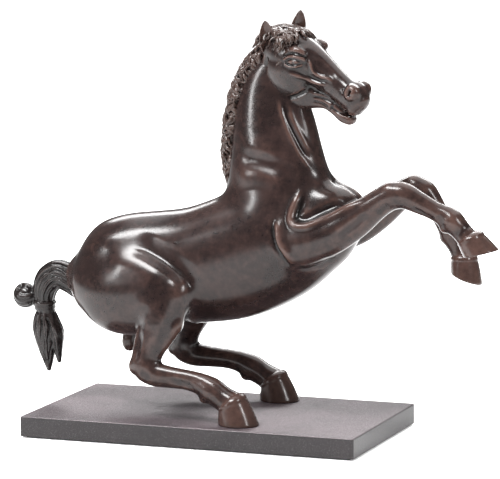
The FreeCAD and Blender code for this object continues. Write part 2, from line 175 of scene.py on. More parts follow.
def remeshed(made, size):
    """One even skin over every mass in the object, with the modifier applied."""
    modifier = made.modifiers.new("skin", "REMESH")
    modifier.mode = "VOXEL"
    modifier.voxel_size = size
    modifier.adaptivity = 0.0
    old = made.data
    mesh = bpy.data.meshes.new_from_object(made.evaluated_get(bpy.context.evaluated_depsgraph_get()))
    made.modifiers.clear()
    made.data = mesh
    bpy.data.meshes.remove(old)
    return made


# what a view sees: its two axes, the axis it looks along and from which end
VIEWS = {
    "right": ((0, 2), 1, -1), "left": ((0, 2), 1, 1), "top": ((0, 1), 2, 1), "front": ((1, 2), 0, 1),
    "back": ((1, 2), 0, -1),
}


class Clay:
    """A mesh being modelled: its points as an array, and the tools that move them."""

    def __init__(self, made):
        self.made = made
        self.mesh = made.data
        count = len(self.mesh.vertices)
        self.co = np.empty(count * 3)
        self.mesh.vertices.foreach_get("co", self.co)
        self.co = self.co.reshape(-1, 3)
        edges = np.empty(len(self.mesh.edges) * 2, dtype=np.int64)
        self.mesh.edges.foreach_get("vertices", edges)
        self.edges = edges.reshape(-1, 2)
        self.count = np.bincount(self.edges.ravel(), minlength=count).astype(float)
        self.refresh()

    def refresh(self):
        """Writes the points back and reads the normals again."""
        self.mesh.vertices.foreach_set("co", self.co.ravel())
        self.mesh.update()
        normals = np.empty(len(self.co) * 3, dtype=np.float32)
        self.mesh.vertex_normals.foreach_get("vector", normals)
        self.no = normals.reshape(-1, 3).astype(float)

    def around(self, values):
        """The mean of each point's neighbours."""
        total = np.empty_like(values)
        a, b = self.edges[:, 0], self.edges[:, 1]
        for axis in range(values.shape[1]):
            total[:, axis] = np.bincount(a, values[b, axis], len(values))
            total[:, axis] += np.bincount(b, values[a, axis], len(values))
        return total / self.count[:, None]

    def soften(self, rounds, weight=None):
        """Rubs the clay smooth, everywhere or as much as `weight` says."""
        share = 0.5 if weight is None else 0.5 * weight[:, None]
        for _ in range(rounds):
            self.co += (self.around(self.co) - self.co) * share
        self.refresh()

    def seen(self, view, where):
        """For each side that a view names: its points, how far each faces it, and which may move."""
        for side in ("right", "left") if view == "sides" else (view,):
            axes, normal, sign = VIEWS[side]
            faces = np.clip((sign * self.no[:, normal] + 0.05) / 0.4, 0, 1)
            free = faces > 0
            if where is not None:
                free &= where(self.co)
            elif normal == 1:
                free &= self.co[:, 1] * sign > -2
            yield self.co[:, axes], faces, free

    def stroke(self, path, radius, depth, taper=0.25, view="sides", where=None, kind="groove"):
        """Presses a tool along a path seen from one side: depth > 0 raises, < 0 cuts."""
        line = smooth_rows([(*point, 0) for point in path], radius * 0.4)[:, :2]
        low, high = line.min(0) - radius, line.max(0) + radius
        for points, faces, free in self.seen(view, where):
            index = np.nonzero(np.all((points > low) & (points < high), axis=1) & free)[0]
            if not len(index):
                continue
            near = points[index]
            best = np.full(len(index), 1e9)
            along = np.zeros(len(index))
            signed = np.zeros(len(index))
            reach = np.concatenate([[0], np.cumsum(np.linalg.norm(np.diff(line, axis=0), axis=1))])
            for i in range(len(line) - 1):
                a, b = line[i], line[i + 1]
                ab = b - a
                length = max(np.dot(ab, ab), 1e-9)
                t = np.clip(((near - a) @ ab) / length, 0, 1)
                off = near - (a + t[:, None] * ab)
                distance = np.linalg.norm(off, axis=1)
                better = distance < best
                best[better] = distance[better]
                along[better] = (reach[i] + t * (reach[i + 1] - reach[i]))[better]
                signed[better] = np.sign(ab[0] * off[:, 1] - ab[1] * off[:, 0])[better]
            share = along / max(reach[-1], 1e-6)
            fade = np.clip(np.minimum(share, 1 - share) / taper, 0, 1)
            fade = fade * fade * (3 - 2 * fade)
            d = np.clip(best / radius, 0, 1)
            if kind == "groove":
                shape = (1 - d * d) ** 2
            elif kind == "crease":
                shape = (1 - d) ** 2
            else:
                shape = np.where(signed > 0, d ** 0.5 * (1 - d * d) ** 2 * 1.9, 0.0)
            weight = depth * shape * fade * faces[index]
            self.co[index] += self.no[index] * weight[:, None]
        self.refresh()

    def swell(self, view, centre, radii, height, turn=0.0, where=None):
        """Raises or sinks a smooth oval patch."""
        for points, faces, free in self.seen(view, where):
            off = points - np.asarray(centre, float)
            c, s = math.cos(math.radians(turn)), math.sin(math.radians(turn))
            u, v = (off[:, 0] * c + off[:, 1] * s) / radii[0], (-off[:, 0] * s + off[:, 1] * c) / radii[1]
            d = np.sqrt(u * u + v * v)
            pick = (d < 1) & free
            weight = height * (1 - d[pick] ** 2) ** 2 * faces[pick]
            self.co[pick] += self.no[pick] * weight[:, None]
        self.refresh()


# ---- The figure in clay ----
TRUNK = [
    (-84, 0, 74, 15, 14),
    (-79, 0, 74.5, 22, 20.5),
    (-69, 0, 76, 29.5, 26),
    (-53, 0, 79.5, 32.5, 28.5),
    (-35, 0, 82, 32.5, 27.5),
    (-14, 0, 83.6, 34, 28),
    (9, 0, 89, 36.2, 28.5),
    (31, 0, 97.8, 35.6, 28),
    (50, 0, 106.5, 32, 26),
    (66, 0, 113, 25, 22),
    (75, 0, 117.5, 18, 17),
]
THIGH = [
    (-76, 12, 71, 15, 12),
    (-60, 17.5, 69, 23.5, 15),
    (-42, 21.5, 69.5, 25, 15),
    (-25, 25.5, 70, 19, 12.5),
    (-13, 28, 69, 11.5, 9.5),
]
HIND_LEG = [
    (-19, 28.5, 67, 10.5, 8.5),
    (-22.5, 30.5, 56, 12.6, 9),
    (-26, 32.3, 46.5, 10.2, 8),
    (-29.5, 34, 37, 8, 6.6),
    (-31.5, 35, 29.5, 9, 6.4),
    (-27, 35.6, 25.6, 7.6, 6.2),
    (-17, 36.4, 24.2, 6.5, 5.5),
    (-6, 37.3, 23.4, 6.0, 5.1),
    (3, 38.2, 21.7, 6.5, 5.6),
    (10, 39, 18.6, 7.7, 6.9),
    (16.5, 39.6, 14.8, 7.2, 7.0),
    (22, 40, 11.5, 8.2, 8.0),
]
FORELEG_RIGHT = [
    (36, 17, 98, 12, 9),
    (52, 20, 100, 13.5, 10),
    (65, 21.5, 103.4, 12.8, 9.4),
    (78, 22, 109.5, 11.2, 8.6),
    (90, 22.3, 117, 9.9, 7.6),
    (100, 22.5, 124.6, 8.4, 6.9),
    (108, 22.5, 130, 7.9, 7.3),
    (116, 22.5, 132, 7.8, 7.4),
    (125, 22.5, 128.6, 6.6, 6),
    (136, 22.5, 123.6, 5.6, 5.2),
    (144.5, 22.5, 119.3, 7.0, 6.3),
    (151, 22.5, 113, 5.9, 5.7),
    (155.5, 22.5, 108, 6.5, 6.5),
]
FORELEG_LEFT = [
    (36, 17, 98, 12, 9),
    (52, 20, 100, 13.5, 10),
    (65, 21.5, 103.2, 12.8, 9.4),
    (78, 22, 109, 11.2, 8.6),
    (90, 22.3, 117, 9.9, 7.6),
    (99.5, 22.5, 124.4, 8.4, 6.9),
    (107, 22.5, 129.2, 7.9, 7.3),
    (114.5, 22.5, 128.6, 7.8, 7.4),
    (120.5, 22.5, 122, 6.6, 6),
    (126.5, 22.5, 113.5, 5.6, 5.2),
    (132, 22.5, 105, 7.0, 6.3),
    (136, 22.5, 97.5, 5.9, 5.7),
    (139, 22.5, 91.5, 6.5, 6.5),
]
NECK = [
    (40, 0, 108, 31, 22),
    (38, 0, 122, 32.5, 21),
    (36.5, 0, 134, 31.5, 19.5),
    (35.2, 0, 146, 29, 17.3),
    (34.2, 0, 158, 27, 15.2),
    (33.2, 0, 170, 25, 13.4),
    (33, 0, 181, 22.5, 10.9),
    (35, 0, 191, 20, 9.2),
    (38.5, 0, 199, 16.5, 8.2),
    (41.5, -1, 205, 12.5, 7.4),
]
LEFT_HIND_SHIFT = -3.5


def sided(rows, side, shift=0.0):
    return [(r[0] + shift, side * r[1], *r[2:]) for r in rows]


def figure_masses():
    """Trunk, neck and legs as overlapping masses."""
    bm = bmesh.new()
    skin(bm, TRUNK, 3.0, 40)
    skin(bm, NECK, 3.0, 36)
    for side, shift in ((-1, 0.0), (1, LEFT_HIND_SHIFT)):
        skin(bm, sided(THIGH, side), 3.0, 32)
        skin(bm, sided(HIND_LEG, side, shift), 2.5, 28)
    skin(bm, sided(FORELEG_RIGHT, -1), 2.5, 28)
    skin(bm, sided(FORELEG_LEFT, 1), 2.5, 28)
    # croup, buttock, loin, shoulder, upper arm, breast and throat
    both_sides(bm, (-55, 12, 83.5), (26.5, 15.5, 22.8), (0, 8, 0))
    both_sides(bm, (-74, 11, 72), (13, 12, 21))
    both_sides(bm, (-14, 29, 71.5), (8.5, 7.5, 9))
    both_sides(bm, (36, 10, 115), (22, 13.5, 26), (0, 24, 0))
    both_sides(bm, (52, 17, 103), (21, 11, 13.5), (0, -14, 0))
    both_sides(bm, (69, 9, 117), (14, 10.5, 16), (0, 20, 0))
    both_sides(bm, (64, 16, 110), (13, 9.5, 11), (0, -20, 0))
    # belly form between the thighs
    both_sides(bm, (-54.5, 3.4, 37), (6.3, 5.6, 8.2))
    lump(bm, (-53, 0, 47), (6, 7, 7))
    leg_joints(bm)
    return new_object("figure", bm)


def leg_joints(bm):
    """Hocks, knees and ankles over the bare limbs."""
    for side, shift in ((-1, 0.0), (1, LEFT_HIND_SHIFT)):
        lump(bm, (-38 + shift, side * 35, 29), (4.2, 4.0, 5.4))
        lump(bm, (-29.5 + shift, side * 35, 29), (7.5, 6.9, 7.0))
        skin(bm, [(-39 + shift, side * 35, 29, 2.6, 2.4), (-38.4 + shift, side * 34.6, 36, 2.0, 1.9),
                  (-36.5 + shift, side * 33.6, 45, 2.2, 2.4), (-33.5 + shift, side * 31, 56, 3, 3)], 2.5, 14)
        lump(bm, (10 + shift, side * 39, 18.4), (7.6, 7.0, 7.2))
        lump(bm, (6.0 + shift, side * 39, 13.4), (3.6, 4.2, 3.0))
    lump(bm, (111.5, -22.5, 132), (9.0, 7.4, 7.4), (0, 20, 0))
    lump(bm, (144.5, -22.5, 119.5), (6.6, 6.6, 6.8))
    lump(bm, (141, -22.5, 114.5), (3.0, 4.0, 3.0))
    lump(bm, (110.5, 22.5, 130.5), (8.6, 7.4, 7.6), (0, 35, 0))
    lump(bm, (131.8, 22.5, 105.5), (6.4, 6.6, 6.8))
    lump(bm, (127.6, 22.5, 102.5), (3.0, 4.0, 3.0))


HOOVES = {
    # coronet centre, its lean, half depth, half width; sole centre, its lean, half depth, half width
    "right_hind_leg": ((21.8, -40, 13.0), 30, 9.3, 9.0, (26.0, -40, 0.0), 0, 12.4, 11.2),
    "left_hind_leg": ((18.3, 40, 13.0), 30, 9.3, 9.0, (22.5, 40, 0.0), 0, 12.4, 11.2),
    "right_foreleg": ((155, -22.5, 109.8), 30, 8.2, 7.8, (161.7, -22.5, 101.2), 14, 10.6, 9.6),
    "left_foreleg": ((138.8, 22.5, 92.8), 4, 8.1, 7.8, (140.3, 22.5, 80.4), -20, 10.2, 9.6),
}


def leaning(degrees):
    """The way down a hoof whose foot is carried forward by so many degrees."""
    angle = math.radians(degrees)
    return np.array((math.sin(angle), 0, -math.cos(angle)))


def hoof(coronet, lean, depth, width, sole, sole_lean, sole_depth, sole_width):
    """One hoof: coronet band, flared wall, crisp bearing edge and dished sole."""
    bm = bmesh.new()
    coronet, sole = np.array(coronet, float), np.array(sole, float)
    sections = []
    for share, swell in (
        (-0.20, 0.40), (-0.17, 0.64), (-0.11, 0.82), (-0.03, 0.94), (0.05, 0.995),
        (0.11, 1.0), (0.15, 0.98), (0.20, 0.968),
        (0.3, 0.985), (0.45, 0.99), (0.6, 1.0), (0.75, 1.0), (0.9, 1.005), (0.965, 1.01), (0.99, 0.99),
    ):
        part = max(share, 0.0)
        sections.append((
            coronet + (sole - coronet) * share, leaning(lean + (sole_lean - lean) * part),
            (depth + (sole_depth - depth) * part) * swell, (width + (sole_width - width) * part) * swell,
        ))
    way = leaning(sole_lean)
    sections += [
        (sole, way, sole_depth * 0.955, sole_width * 0.955), (sole, way, sole_depth * 0.84, sole_width * 0.84),
        (sole - way * 1.2, way, sole_depth * 0.74, sole_width * 0.74),
        (sole - way * 1.6, way, sole_depth * 0.3, sole_width * 0.3),
    ]

    def hoof_shape(across, toe):
        """Full at the toe, straighter at the heel."""
        if toe < 0:
            return across * (1 + 0.06 * toe), toe * (0.9 - 0.06 * abs(across))
        return across, toe

    skin_sections(bm, sections, 56, shape=hoof_shape)
    return bm


def ramp(value, low, high):
    """0 below low, 1 above high, smooth between; low may be the greater."""
    t = np.clip((value - low) / (high - low), 0, 1)
    return t * t * (3 - 2 * t)


def model_haunch(clay):
    """Hip, thigh, stifle and gaskin."""
    s = clay.stroke
    s([(-46, 95), (-38, 94), (-30, 91.2), (-21, 87), (-13, 81.6), (-8, 75), (-6.2, 67)], 11, -1.4, kind="lip")
    s([(-46, 94.4), (-37, 93.2), (-28, 90), (-20, 86), (-12, 80.6), (-7.2, 74.4)], 4.2, -0.6)
    s([(-58, 85), (-47, 88.5), (-38, 87.5), (-29, 82.5), (-22, 76)], 11, 0.5)
    clay.swell("sides", (-54, 76.5), (24, 11), -0.4, 6)
    clay.swell("sides", (-13, 71), (8, 14), 0.8, -10)
    s([(-37.5, 52), (-35, 57), (-31.5, 60.5), (-26, 63)], 5, -0.35)
    clay.swell("sides", (-27, 62), (15, 12), 1.3)
    s([(-8, 68), (-9.5, 58), (-13.5, 50), (-18.5, 41), (-21.5, 33)], 3.4, 0.9, 0.3)
    s([(-14, 62), (-16, 55), (-19.5, 48), (-24, 40), (-26, 34)], 4.5, -0.6, 0.35)
    s([(-33, 50), (-33.5, 44), (-34.6, 37), (-35.2, 31)], 2.4, -0.8, 0.3)
    s([(-33, 26.5), (-29, 24.5), (-27, 21.5)], 3.0, -0.5)
    s([(0, 100), (0, 85), (0, 70), (0, 58)], 7, -3.0, view="back", where=lambda co: co[:, 0] < -60)


def model_shoulder(clay):
    """Withers, shoulder blade, breast and the fold of the raised forelegs."""
    s = clay.stroke
    s([(14, 136.5), (26, 139), (37, 138), (48, 134)], 9, 1.1)
    s([(16, 148), (31, 146.6), (43, 143), (55, 137)], 7, -1.0)
    clay.swell("sides", (30, 155), (17, 9), 0.8, -14)
    # the sharp V where the breast meets the arm
    clay.swell("sides", (66, 131), (13, 12), 1.5, 20)
    s([(58, 131), (56.6, 123), (56.2, 117.4), (60.5, 116.6), (70, 121), (82, 126.5)], 3.6, -1.6, 0.3)
    s([(57, 136), (54, 128), (52, 121), (51.6, 115.5), (54.5, 112.4), (62, 112.4), (72, 116.8), (84, 123),
       (96, 129.4)], 3.0, 1.7, 0.18)
    # elbow and the lower edge of the arm
    s([(42.6, 118), (42.4, 110), (44.6, 102), (49.2, 95), (53.5, 88.4)], 7, 1.7, 0.25, kind="lip")
    s([(42.0, 116), (41.8, 109.5), (44.0, 101.4), (48.6, 94.2), (53.0, 87.8)], 2.0, -1.5, 0.25, kind="crease")
    s([(53.0, 88.0), (60, 88), (68, 90.5), (76, 95)], 2.4, -1.2, 0.25)
    s([(0, 140), (0, 128), (0, 116), (0, 104)], 5, -2.2, view="front", where=lambda co: co[:, 0] > 55)


def model_neck(clay):
    """The windpipe and the vein that runs beside it."""
    s = clay.stroke
    s([(38, 184), (41.5, 175), (47, 162), (55, 148), (61, 140)], 2.6, 0.8, 0.2)
    s([(41, 184), (44.3, 173), (50.2, 161), (57.5, 147)], 2.2, -0.8, 0.25)
    s([(44.5, 181), (47.5, 171), (53.5, 160), (60, 149)], 2.2, 0.7, 0.25)
    s([(30, 178), (36, 165), (43, 152), (48, 143)], 6, -0.5, 0.3)


def model_legs(clay):
    """Tendons, knees and the hollows above the hooves."""
    s = clay.stroke
    s([(-16, 23.8), (-6, 22.2), (2, 20)], 2.4, -0.9, 0.3)
    right = lambda co: (co[:, 1] < 0) & (co[:, 0] > 80)
    left = lambda co: (co[:, 1] > 0) & (co[:, 0] > 80)
    clay.swell("right", (147.5, 118.5), (6, 6.5), 0.9, where=right)
    s([(138.6, 123), (141, 118.6), (141.6, 114)], 2.4, -0.5, view="right", where=right)
    s([(148, 110.6), (152.4, 114), (156, 118)], 2.2, -0.5, view="right", where=right)
    for view in ("right", "left"):
        s([(122, 126.5), (130, 122.8), (138, 119)], 2.2, -0.8, view=view, where=right)
        s([(117, 122), (122, 115), (127, 107)], 2.2, -0.8, view=view, where=left)
        s([(103, 121), (108, 125.5), (112, 126.5)], 2.6, -0.9, view=view, where=right)
        s([(80, 106), (90, 114), (99, 121.5)], 3.0, -0.9, view=view, where=right)
        s([(80, 105.5), (90, 113.5), (99, 121)], 3.0, -0.9, view=view, where=left)


def build_figure():
    """The bare figure: one skin over the masses, rubbed together, then modelled."""
    clay = Clay(remeshed(figure_masses(), FIGURE_GRAIN))
    x, y, h = clay.co.T
    trunk = ramp(x, 84, 66) * ramp(np.where(np.abs(y) > 20, h, 60), 52, 62)
    clay.soften(10)
    clay.soften(150, trunk)
    model_haunch(clay)
    model_shoulder(clay)
    model_neck(clay)
    model_legs(clay)
    clay.soften(3)
    return clay


# ---- The head, modelled in its own frame: u from poll to muzzle, v to its left, w out of the forehead ----
POLL = (34, 0, 221.5)
HEAD_YAW, HEAD_PITCH, HEAD_ROLL = 15.0, 31.0, 8.0
SKULL = [
    (-1, 0, -10, 6, 7.5),
    (4, 0, -9.5, 10.5, 10.5),
    (12, 0, -7.5, 13.2, 12.3),
    (20, 0, -6.3, 13.4, 12.6),
    (28, 0, -5.6, 12.8, 11.6),
    (36, 0, -5.2, 11.4, 9.6),
    (44, 0, -5.2, 9.9, 8.2),
    (52, 0, -5.2, 8.6, 7.2),
    (59, 0, -5.3, 8.5, 7.0),
    (65, 0, -4.9, 9.6, 7.7),
    (68.0, 0, -5.9, 7.9, 7.1),
]
JAW = [
    (10, 0, -17, 10, 9.0),
    (17, 0, -19.8, 12.3, 10.4),
    (26, 0, -21, 12.6, 10.2),
    (35, 0, -20.5, 10.8, 8.4),
    (43, 0, -18.4, 7.2, 6.2),
    (51, 0, -16.4, 4.8, 5.2),
    (58, 0, -17.0, 3.6, 4.8),
    (64, 0, -18.0, 3.2, 4.7),
    (69, 0, -17.5, 2.6, 4.0),
]


def head_matrix():
    """The head's frame as a matrix in figure millimetres."""
    yaw, pitch, roll = (math.radians(a) for a in (HEAD_YAW, HEAD_PITCH, HEAD_ROLL))
    u = Vector((math.cos(pitch) * math.cos(yaw), -math.cos(pitch) * math.sin(yaw), -math.sin(pitch)))
    level = Vector((math.sin(yaw), math.cos(yaw), 0))
    v = level * math.cos(roll) + u.cross(level) * math.sin(roll)
    w = u.cross(v)
    return Matrix.Translation(Vector(POLL)) @ Matrix((*zip(u, v, w, (0, 0, 0)), (0, 0, 0, 1)))


EARS = [
    # root, direction, opening, length
    ((6.8, -9.6, -9.0), (-0.42, -0.16, 0.9), (0.72, -0.66, 0.1), 17.5),
    ((10.8, 7.6, -3.0), (-0.36, 0.22, 0.9), (0.80, -0.55, 0.1), 17.0),
]


def boxy(x, y):
    """A section with fuller corners than an oval."""
    swell = (abs(x) ** 3.4 + abs(y) ** 3.4) ** (-1 / 3.4)
    return x * swell, y * swell


def ear(bm, root, way, opening, length):
    """A cupped, pointed ear."""
    root, way = np.array(root), unit(np.array(way))
    opening = np.array(opening)
    opening = unit(opening - way * float(opening @ way))
    across = np.cross(way, opening)
    sections = []
    for share, wide, deep in (
        (-0.1, 0.72, 0.9), (0.05, 0.84, 1.0), (0.2, 0.98, 1.1), (0.38, 1.06, 1.0), (0.55, 1.0, 0.86),
        (0.7, 0.82, 0.68), (0.82, 0.62, 0.5), (0.91, 0.42, 0.36), (0.97, 0.22, 0.22), (1.0, 0.08, 0.1),
    ):
        bend = way * (length * share) + opening * (1.5 * math.sin(share * math.pi))
        sections.append((root + bend, way, 4.2 * deep, 4.3 * wide))

    def cup(x, y):
        """Hollow on the opening's side."""
        return (x * 0.84, -0.62 * y - 0.12) if y < 0 else (x, y)

    skin_sections(bm, sections, 32, side_hint=across, shape=cup)


def head_masses():
    bm = bmesh.new()
    skin(bm, SKULL, 2.0, 36)
    skin(bm, JAW, 2.0, 40, shape=boxy)
    both_sides(bm, (22, 6.6, -14), (16.5, 6.4, 15.0))
    both_sides(bm, (26.8, 8.8, -2.8), (5.8, 4.4, 4.3), (0, -28, 0))
    lump(bm, (25.5, 9.6, 2.6), (5.6, 3.8, 3.6), (0, -12, 0))
    lump(bm, (24.5, -8.4, 1.6), (6.0, 3.4, 3.2), (0, -12, 0))
    both_sides(bm, (64.8, 4.8, -0.8), (5.6, 4.0, 5.8), (0, 20, 0))
    lump(bm, (68.4, 0, -8.8), (4.4, 6.6, 5.6))
    lump(bm, (63.8, 0, -18.9), (5.4, 4.4, 3.0))
    return new_object("head", bm)


def model_head(clay):
    """Eyes, cheeks, nostrils and mouth."""
    s = clay.stroke
    clay.soften(16)
    # cheek: round plate, its groove and the rim of the jaw behind it
    clay.swell("sides", (23, -14), (18, 16), 1.2)
    s([(9.5, -10), (10.5, -16), (12.5, -22.5), (15.5, -27), (20, -29.3), (26.2, -28.8), (33.7, -23.6),
       (38.6, -16.5), (40, -12.5)], 1.7, -1.1, 0.15)
    s([(7.0, -10), (7.4, -16), (9.8, -23), (13, -28.3), (17.6, -31.4), (24, -32.6), (31, -31)], 1.6, 0.9, 0.15)
    # facial crest and nose bones
    s([(26, -11), (30, -9.8), (35, -8.9), (41, -8.0), (47.6, -5.5), (51, -3)], 1.9, 1.0, 0.3)
    s([(35, -13), (42, -12.4), (50, -8.5)], 3.4, -0.9, 0.3)
    s([(31, 1.6), (35, 0.3), (39, -2.6), (44, -2.6), (48.2, -1.4), (53, -1.6)], 1.5, 0.9, 0.25)
    s([(34, -3.6), (38, -5.8), (44, -5.4), (50, -3.8)], 1.9, -0.7, 0.3)
    s([(36, 3.4), (44, 1.4), (52, 0.6)], 2.2, -0.5, 0.3)
    # eye: lids, brow and the hollow over it
    s([(17, -5), (21, 1.0), (27, 4.4), (33, 3.4)], 2.4, 0.4, 0.3)
    s([(20, -4.4), (23, 0.0), (27.5, 2.0), (32, 1.6)], 1.0, -0.6, 0.2)
    s([(20.6, -6.4), (22.9, -2.6), (26.6, -0.1), (30.2, 0.7), (32.8, -0.5)], 1.0, 0.9, 0.12)
    s([(21.8, -6.1), (24.2, -3.1), (27.3, -1.4), (31.0, -0.9)], 0.7, -0.8, 0.12)
    s([(21.8, -7.4), (25.8, -7.1), (29.6, -4.6), (32.5, -1.6)], 0.95, 0.7, 0.12)
    s([(22.5, -6.5), (25.8, -6.0), (28.9, -3.8), (31.3, -1.6)], 0.7, -0.7, 0.12)
    clay.swell("sides", (27.2, -3.7), (1.1, 1.1), -0.45)
    # nostril
    clay.swell("sides", (65.3, 0.6), (5.0, 5.6), 0.9)
    s([(64.4, 2.9), (64.5, 0.8), (66.0, -1.6)], 1.9, -3.2, 0.1)
    s([(60.6, 3.0), (60.2, -0.6), (61.8, -4.0)], 1.6, -0.6, 0.3)
    # mouth corners and the folds behind them
    s([(55.5, -15.8), (59, -16.2), (64, -15.4), (70, -13.4), (74, -11.2)], 1.1, -0.9, 0.05)
    s([(42.3, -17.5), (50.8, -14.2), (57.2, -13.6)], 1.3, -0.8, 0.25)
    s([(41, -14.8), (48, -12.0), (55, -11.0)], 1.2, -0.6, 0.25)
    s([(43, -20.2), (50, -17.6), (56, -17.6)], 1.2, -0.6, 0.25)
    s([(54.4, -11), (56.0, -14), (56.4, -18.4)], 1.4, -0.5)
    clay.soften(2)


def build_head():
    clay = Clay(remeshed(head_masses(), HEAD_GRAIN))
    model_head(clay)
    mark_relief(clay, 18, 0.35)
    bm = bmesh.new()
    for numbers in EARS:
        ear(bm, *numbers)
    ears = Clay(remeshed(new_object("ears", bm), EAR_GRAIN))
    ears.soften(5)
    mark_relief(ears, 18, 0.3, EAR_WEAR)
    return clay, ears


# ---- Hair ----
def star(points, depth, phase=0.0):
    """A section scalloped like a bundle of strands."""
    def shape(across, deep):
        angle = math.atan2(deep, across)
        swell = 1.0 + depth * math.cos(points * angle + phase)
        return across * swell, deep * swell
    return shape


def lock(bm, path, width, thick, normal, twist):
    """A lock of hair along a path, widest near its root third and drawn out to a tip."""
    path = [tuple(p) + (1.0, 1.0) for p in path]
    rows = smooth_rows(path, max(width * 0.75, 1.1))
    centres = rows[:, :3]
    ways = np.gradient(centres, axis=0)
    count = len(centres)
    sections = []
    for i, (centre, way) in enumerate(zip(centres, ways)):
        t = i / (count - 1)
        full = min(1.0, (t + 0.12) / 0.3) ** 0.6 * (1 - t ** 2.2 * 0.75)
        sections.append((centre, way, thick * full, width * full))
    side = np.cross(np.asarray(normal, float), ways[0])
    single = bmesh.new()
    skin_sections(single, sections, 9, side_hint=side, shape=star(3, 0.17, twist))
    mesh = bpy.data.meshes.new("lock")
    single.to_mesh(mesh)
    single.free()
    bm.from_mesh(mesh)
    bpy.data.meshes.remove(mesh)


def curl(root, ahead, axis, length, turns):
    """A path that sets off ahead and winds round an axis; `turns` gives the degrees turned at each step."""
    point, heading = np.array(root, float), unit(np.array(ahead, float))
    path = [point.copy()]
    for turn in turns:
        spin = Matrix.Rotation(math.radians(turn), 3, Vector(axis))
        heading = np.array(spin @ Vector(heading))
        point = point + heading * (length / len(turns))
        path.append(point.copy())
    return path


def tail_masses():
    """The arched dock and the split tassel."""
    bm = bmesh.new()
    dock = [
        (-76, 0, 62.5, 7.4, 7.0), (-84, 0, 66.6, 7.6, 7.4), (-92, 0, 71.4, 8.0, 7.8), (-99, 0, 74.0, 8.3, 8.0),
        (-104.6, 0, 71.6, 8.2, 8.0), (-107.8, 0, 66.0, 7.4, 7.4), (-108.6, 0, 60.0, 6.2, 6.4),
        (-108.4, 0, 54.5, 5.0, 5.2),
    ]
    skin(bm, dock, 1.6, 64, shape=star(13, 0.055))
    tassel = [
        (-108.3, 0, 53.5, 4.6, 4.8), (-108.0, 0, 48.5, 7.0, 6.6), (-107.6, 0, 42.5, 8.2, 7.2),
        (-107.8, 0.6, 35.5, 7.0, 6.4), (-107.6, 1.0, 28, 4.8, 4.7), (-107.0, 1.2, 21, 2.7, 2.8),
        (-106.7, 1.2, 17.0, 1.3, 1.4),
    ]
    skin(bm, tassel, 1.4, 64, shape=star(11, 0.07))
    second = [
        (-104.5, 0, 45, 5, 5.6), (-101.5, 0, 39, 4.6, 5.2), (-100.4, 0, 31, 2.9, 3.4),
        (-99.9, 0, 25.5, 1.9, 2.2), (-99.6, 0, 22.4, 1.2, 1.4),
    ]
    skin(bm, second, 1.4, 40, shape=star(7, 0.09))
    return bm


def strand_wrap(bm, centre, axis, radius, thick, start, turn, rise, count=26):
    """A cord laid round an axis."""
    axis = unit(np.asarray(axis, float))
    first = unit(np.cross(axis, (0.3, 0.9, 0.1)))
    second = np.cross(axis, first)
    path = []
    for i in range(count):
        t = i / (count - 1)
        angle = start + turn * t
        path.append(tuple(np.asarray(centre, float) + axis * rise * (t - 0.5)
                          + (first * math.cos(angle) + second * math.sin(angle)) * radius) + (thick, thick))
    skin(bm, path, thick * 0.9, 10, shape=star(3, 0.1))


def build_tail():
    bm = tail_masses()
    # the loop of hair that makes the bun, and the cord that ties it
    rng = random.Random(11)
    bun = np.array((-120.6, 0, 60.5))
    lump(bm, tuple(bun), (6.4, 5.6, 6.0))
    neck = [(-117, 0, 60, 4, 4), (-112.5, 0, 59.5, 3.4, 3.6), (-108.5, 0, 58.5, 3.6, 4)]
    skin(bm, neck, 1.5, 24, shape=star(6, 0.1))
    for i in range(9):
        tilt = -0.9 + 1.8 * i / 8
        axis = (math.sin(tilt) * 0.5 + 0.2, math.cos(tilt), math.sin(tilt))
        offset = unit(np.array(axis)) * (4.6 * math.sin(tilt))
        strand_wrap(bm, bun + offset, axis, 6.3 * math.cos(tilt * 0.85), 1.35, rng.uniform(0, 6), 5.4, 0.8)
    for i, height in enumerate((57.2, 55.0, 52.9)):
        strand_wrap(bm, (-108.6, 0, height), (0.08, 0.05 * (i - 1), 1), 5.7 - 0.25 * i, 1.25, 1.1 * i, 6.6, 1.0)
    tail = Clay(remeshed(new_object("tail", bm), TAIL_GRAIN))
    tail.soften(2)
    s = tail.stroke
    # strands chased along the dock and the tassel
    for side, view in ((-1, "right"), (1, "left")):
        half = lambda co, side=side: co[:, 1] * side > -1
        for i in range(9):
            k = (i - 4) / 4
            s([(-80, 64.5 + k * 6), (-90, 70.3 + k * 6.4), (-98.5, 74 + k * 6.6),
               (-105 - k * 4.6, 70 + k * 4.4), (-108.2 - k * 5.2, 63), (-108.5 - k * 3.4, 57)], 0.9,
              -0.75 + 0.15 * math.sin(5 * i), 0.15, view, half, "crease")
        for i in range(9):
            k = (i - 4) / 4
            wave = 0.7 * math.sin(2.1 * i)
            s([(-108.6 + k * 3.0, 50.5), (-108.4 + k * 6.2 + wave, 43), (-108.5 + k * 5.6 - wave, 35),
               (-108.1 + k * 3.4, 27), (-107.2 + k * 1.2, 20)], 0.85, -0.8, 0.12, view, half, "crease")
        for k in (-0.6, 0.0, 0.6):
            s([(-103 + k * 3, 43), (-101 + k * 3.4, 36), (-100.1 + k * 1.8, 28), (-99.7 + k, 23.5)], 0.8,
              -0.7, 0.12, view, half, "crease")
    for i in range(7):
        k = (i - 3) / 3
        s([(-80, k * 5.4), (-90, k * 6.2), (-100, k * 6.6)], 0.9, -0.7, 0.2, "top", None, "crease")
    tail.soften(1)
    mark_relief(tail, 8, 0.5)
    return tail


